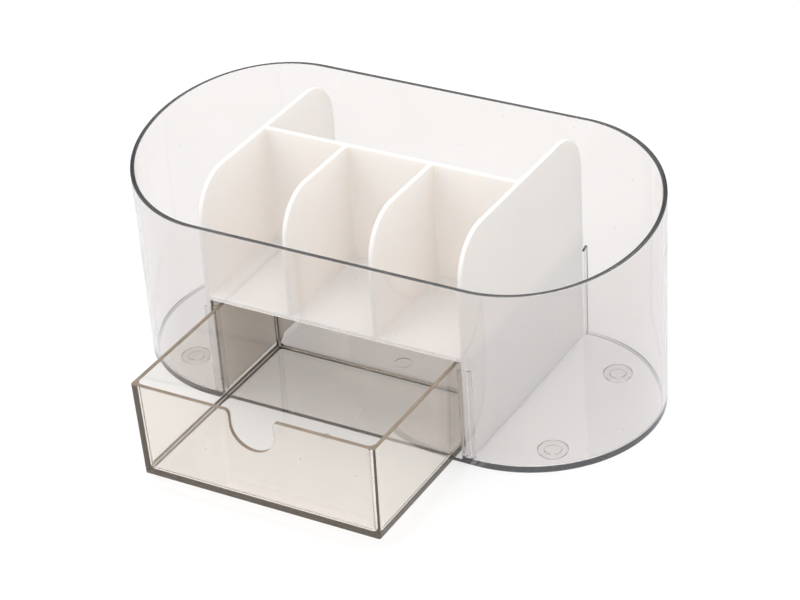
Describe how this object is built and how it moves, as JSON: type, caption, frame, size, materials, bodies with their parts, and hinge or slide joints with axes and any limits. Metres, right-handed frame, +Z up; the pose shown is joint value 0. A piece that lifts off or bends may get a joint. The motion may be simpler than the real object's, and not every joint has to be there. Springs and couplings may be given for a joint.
{
  "type": "brush holder with drawer",
  "caption": "Clear round-ended vanity tub with a white divided insert and a tinted drawer that slides out under the shelf",
  "frame": {"origin": "middle of the footprint on the standing surface, with the drawer pulled out as at rest", "axes": "+X right along the tub's long axis, +Y to the back, +Z up; the drawer opens towards -Y"},
  "size_m": [0.25, 0.1826, 0.1118],
  "materials": {
    "clear_plastic": "clear polished polystyrene",
    "white_plastic": "white satin moulding",
    "tinted_plastic": "tea-tinted clear polystyrene",
    "foot_pad": "clear soft pad"
  },
  "bodies": {
    "holder": {"tub": "clear_plastic", "insert": "white_plastic", "foot_front_left": "foot_pad", "foot_front_right": "foot_pad", "foot_back_left": "foot_pad", "foot_back_right": "foot_pad"},
    "tray": {"drawer": "tinted_plastic"}
  },
  "joints": [
    {"name": "drawer_slide", "type": "slide", "parent": "holder", "child": "tray", "axis": [0, -1, 0], "range_m": [-0.066, 0.03]}
  ]
}
